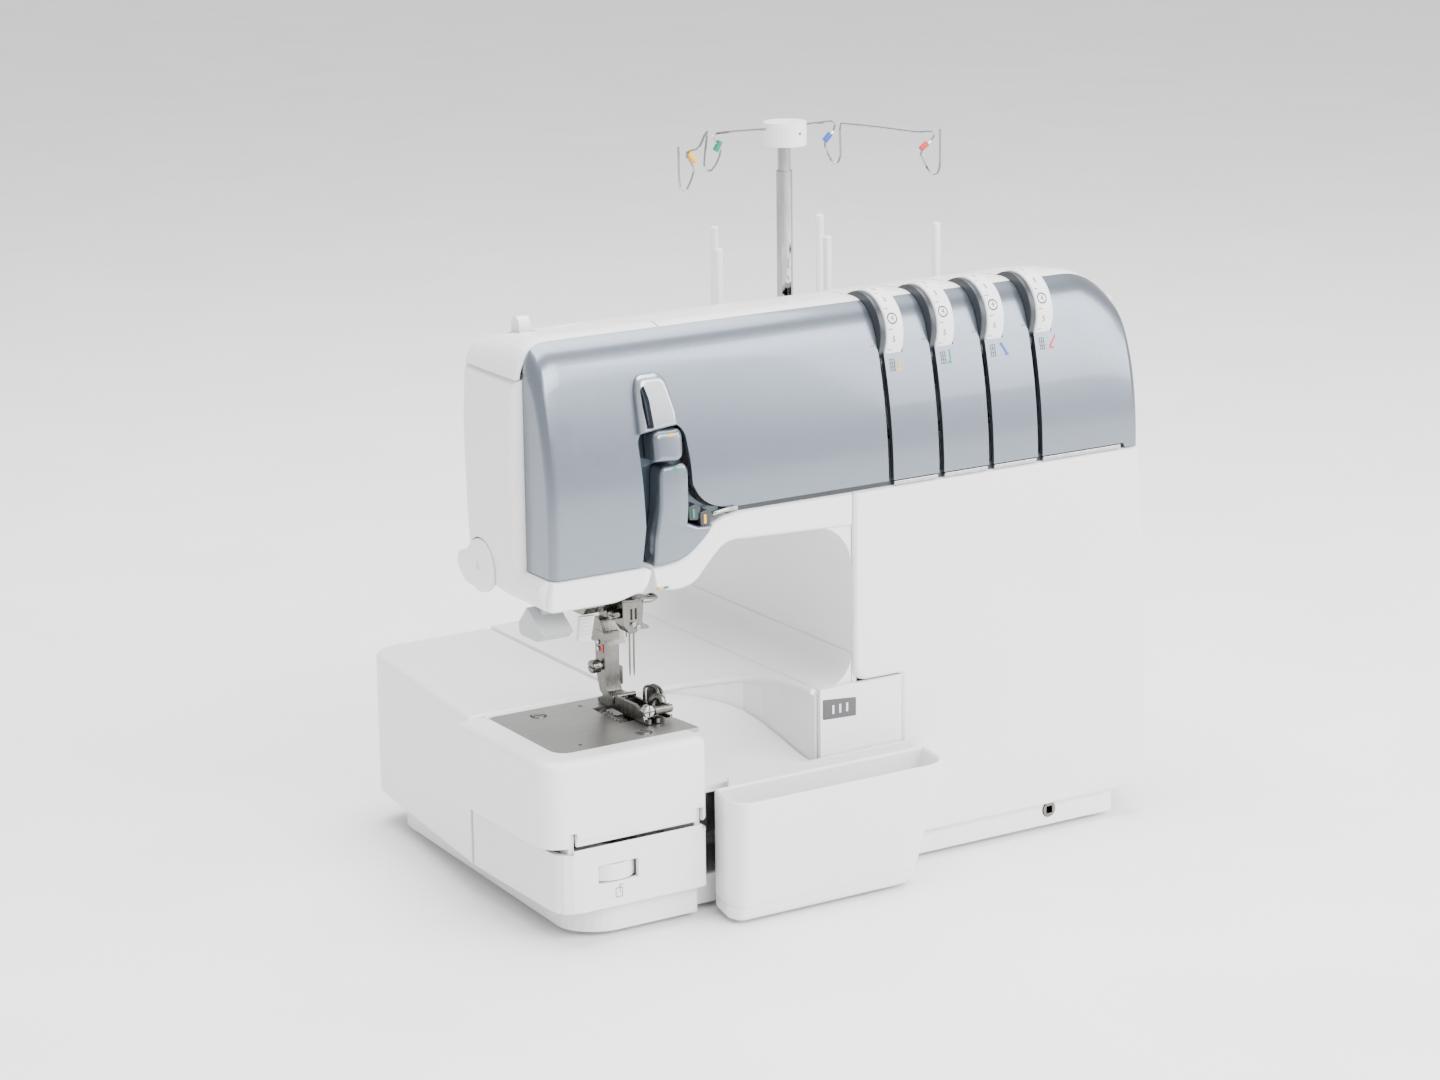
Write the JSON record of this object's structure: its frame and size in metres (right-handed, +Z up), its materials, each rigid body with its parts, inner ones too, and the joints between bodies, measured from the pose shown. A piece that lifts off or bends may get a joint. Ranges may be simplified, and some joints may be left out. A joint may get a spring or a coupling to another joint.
{
  "type": "serger overlock machine",
  "caption": "Home serger with a two-needle head over a steel stitch plate, a thread tension arm on a tower, a waste bin, a slide-on table and a telescopic thread mast.",
  "frame": {"origin": "centre of the bounding box at the level of the feet", "axes": "+X along the arm to the handwheel side, +Y to the back, +Z up; the operator sits on the -Y side"},
  "size_m": [0.369, 0.244, 0.361],
  "materials": {
    "white_plastic": "satin moulded ABS, off-white",
    "silver_paint": "metallic silver-blue lacquer over plastic",
    "dark_plastic": "dark grey moulded plastic",
    "grey_plastic": "light grey moulded plastic",
    "plated_steel": "nickel-plated steel, fine machined grain",
    "plate_steel": "brushed stainless plate",
    "chrome": "polished chrome",
    "casting": "die-cast aluminium, as cast",
    "rubber": "black rubber",
    "board": "printed circuit board with solder mask"
  },
  "bodies": {
    "machine": {"base_pan": "white_plastic", "front_left_foot": "rubber", "front_right_foot": "rubber", "back_right_foot": "rubber", "back_left_foot": "rubber", "free_arm_casing": "white_plastic", "stitch_plate": "plate_steel", "bed_casing": "white_plastic", "trim_chute": "white_plastic", "lower_front_cover": "white_plastic", "tower_front_panel": "white_plastic", "arm_front_panel": "silver_paint", "top_cover": "white_plastic", "rear_casing": "white_plastic", "arm_lower_cover": "white_plastic", "head_end_cover": "white_plastic", "thread_channel": "dark_plastic", "thread_guide_plate": "silver_paint", "thread_arch": "chrome", "tension_disc_bar": "chrome", "lower_knife": "plated_steel", "chassis_frame": "casting", "motor": "casting", "drive_belt": "rubber", "control_board": "board", "socket_panel": "dark_plastic", "spool_stand": "white_plastic"},
    "knee_socket": {"knee_lift_socket": "plated_steel"},
    "looper_hood": {"looper_cover": "white_plastic"},
    "table": {"extension_table": "white_plastic"},
    "bin": {"waste_bin": "white_plastic"},
    "width_dial": {"cutting_width_dial": "white_plastic"},
    "lifter": {"presser_lifter_lever": "white_plastic"},
    "dial_1": {"tension_dial_1": "white_plastic"},
    "dial_2": {"tension_dial_2": "white_plastic"},
    "dial_3": {"tension_dial_3": "white_plastic"},
    "dial_4": {"tension_dial_4": "white_plastic"},
    "needle_drive": {"take_up_lever": "plated_steel"},
    "needle_carrier": {"needle_bar": "plated_steel", "needle_1": "chrome", "needle_2": "chrome"},
    "presser": {"presser_bar": "plated_steel", "presser_foot": "plated_steel"},
    "threader": {"needle_threader_lever": "grey_plastic"},
    "pressure": {"pressure_lever": "white_plastic"},
    "looper_low": {"lower_looper": "plated_steel"},
    "looper_up": {"upper_looper": "plated_steel"},
    "feed": {"feed_dogs": "plated_steel"},
    "knife": {"upper_knife": "plated_steel"},
    "drive_shaft": {"main_shaft": "plated_steel", "handwheel": "white_plastic"},
    "motor_rotor": {"motor_pulley": "plated_steel"},
    "length_dial": {"stitch_length_dial": "white_plastic"},
    "differential_dial": {"differential_feed_dial": "white_plastic"},
    "switch": {"power_switch": "dark_plastic"},
    "mast_lower": {"mast_outer_tube": "chrome"},
    "mast_upper": {"mast_inner_tube": "chrome", "mast_cap": "white_plastic", "left_guide_wire": "chrome", "right_guide_wire": "chrome"}
  },
  "joints": [
    {"name": "handwheel_turn", "type": "hinge", "parent": "machine", "child": "drive_shaft", "pos_m": [0.1681, -0.031, 0.05], "axis": [1, 0, 0], "continuous": true},
    {"name": "motor_turn", "type": "hinge", "parent": "machine", "child": "motor_rotor", "pos_m": [0.1481, 0.034, 0.062], "axis": [1, 0, 0], "continuous": true},
    {"name": "needle_drive_rock", "type": "hinge", "parent": "machine", "child": "needle_drive", "pos_m": [-0.0619, -0.039, 0.222], "axis": [1, 0, 0], "range_deg": [0, 40.2]},
    {"name": "needle_bar_stroke", "type": "slide", "parent": "machine", "child": "needle_carrier", "axis": [0, 0, -1], "range_m": [0, 0.026]},
    {"name": "lower_looper_swing", "type": "hinge", "parent": "machine", "child": "looper_low", "pos_m": [-0.1399, -0.044, 0.058], "axis": [0, -1, 0], "range_deg": [0, 22]},
    {"name": "upper_looper_swing", "type": "hinge", "parent": "machine", "child": "looper_up", "pos_m": [-0.0899, -0.057, 0.05], "axis": [0, -1, 0], "range_deg": [0, 14]},
    {"name": "feed_dog_stroke", "type": "slide", "parent": "machine", "child": "feed", "axis": [0, 1, 0], "range_m": [0, 0.003]},
    {"name": "upper_knife_stroke", "type": "slide", "parent": "machine", "child": "knife", "axis": [0, 0, -1], "range_m": [0, 0.006]},
    {"name": "presser_lifter_raise", "type": "hinge", "parent": "machine", "child": "lifter", "pos_m": [-0.1769, -0.031, 0.171], "axis": [1, 0, 0], "range_deg": [0, 32.2]},
    {"name": "presser_bar_lift", "type": "slide", "parent": "machine", "child": "presser", "axis": [0, 0, 1], "range_m": [0, 0.007]},
    {"name": "needle_threader_press", "type": "slide", "parent": "machine", "child": "threader", "axis": [0, 0, -1], "range_m": [0, 0.02], "stiffness_N_per_m": 60, "springref_m": -0.01},
    {"name": "pressure_lever_tilt", "type": "hinge", "parent": "machine", "child": "pressure", "pos_m": [-0.1554, -0.035, 0.276], "axis": [1, 0, 0], "range_deg": [-6, 6]},
    {"name": "tension_dial_1_turn", "type": "hinge", "parent": "machine", "child": "dial_1", "pos_m": [0.0181, -0.0645, 0.2665], "axis": [1, 0, 0], "range_deg": [-135, 135]},
    {"name": "tension_dial_2_turn", "type": "hinge", "parent": "machine", "child": "dial_2", "pos_m": [0.0477, -0.0645, 0.2665], "axis": [1, 0, 0], "range_deg": [-135, 135]},
    {"name": "tension_dial_3_turn", "type": "hinge", "parent": "machine", "child": "dial_3", "pos_m": [0.0773, -0.0645, 0.2665], "axis": [1, 0, 0], "range_deg": [-135, 135]},
    {"name": "tension_dial_4_turn", "type": "hinge", "parent": "machine", "child": "dial_4", "pos_m": [0.1069, -0.0645, 0.2665], "axis": [1, 0, 0], "range_deg": [-135, 135]},
    {"name": "cutting_width_dial_turn", "type": "hinge", "parent": "machine", "child": "width_dial", "pos_m": [-0.1464, -0.085, 0.034], "axis": [0, 0, 1], "range_deg": [-90, 90]},
    {"name": "stitch_length_dial_turn", "type": "hinge", "parent": "machine", "child": "length_dial", "pos_m": [0.1721, -0.039, 0.122], "axis": [1, 0, 0], "range_deg": [-135, 135]},
    {"name": "differential_dial_turn", "type": "hinge", "parent": "machine", "child": "differential_dial", "pos_m": [0.1707, -0.039, 0.16], "axis": [1, 0, 0], "range_deg": [-135, 135]},
    {"name": "power_switch_rock", "type": "hinge", "parent": "machine", "child": "switch", "pos_m": [0.1645, 0.046, 0.051], "axis": [0, 0, 1], "range_deg": [0, 12]},
    {"name": "knee_lift_turn", "type": "hinge", "parent": "machine", "child": "knee_socket", "pos_m": [0.1136, -0.071, 0.011], "axis": [0, 1, 0], "range_deg": [0, 14]},
    {"name": "looper_cover_open", "type": "hinge", "parent": "machine", "child": "looper_hood", "pos_m": [-0.1419, -0.095, 0.0535], "axis": [1, 0, 0], "range_deg": [0, 85]},
    {"name": "waste_bin_pull", "type": "slide", "parent": "machine", "child": "bin", "axis": [0, -1, 0], "range_m": [0, 0.06]},
    {"name": "extension_table_pull", "type": "slide", "parent": "machine", "child": "table", "axis": [-1, 0, 0], "range_m": [0, 0.09]},
    {"name": "mast_lower_slide", "type": "slide", "parent": "machine", "child": "mast_lower", "axis": [0, 0, -1], "range_m": [0, 0.058]},
    {"name": "mast_upper_slide", "type": "slide", "parent": "mast_lower", "child": "mast_upper", "axis": [0, 0, -1], "range_m": [0, 0.012]}
  ],
  "couplings": [
    {"joint": "motor_turn", "follows": "handwheel_turn", "ratio": 2.5957},
    {"joint": "needle_drive_rock", "follows": "needle_bar_stroke", "rad_per_m": 26.851},
    {"joint": "lower_looper_swing", "follows": "needle_bar_stroke", "rad_per_m": 14.701},
    {"joint": "upper_looper_swing", "follows": "needle_bar_stroke", "rad_per_m": 9.3308},
    {"joint": "feed_dog_stroke", "follows": "needle_bar_stroke", "ratio": 0.11154},
    {"joint": "upper_knife_stroke", "follows": "needle_bar_stroke", "ratio": 0.22692},
    {"joint": "presser_lifter_raise", "follows": "presser_bar_lift", "rad_per_m": 79.787}
  ]
}
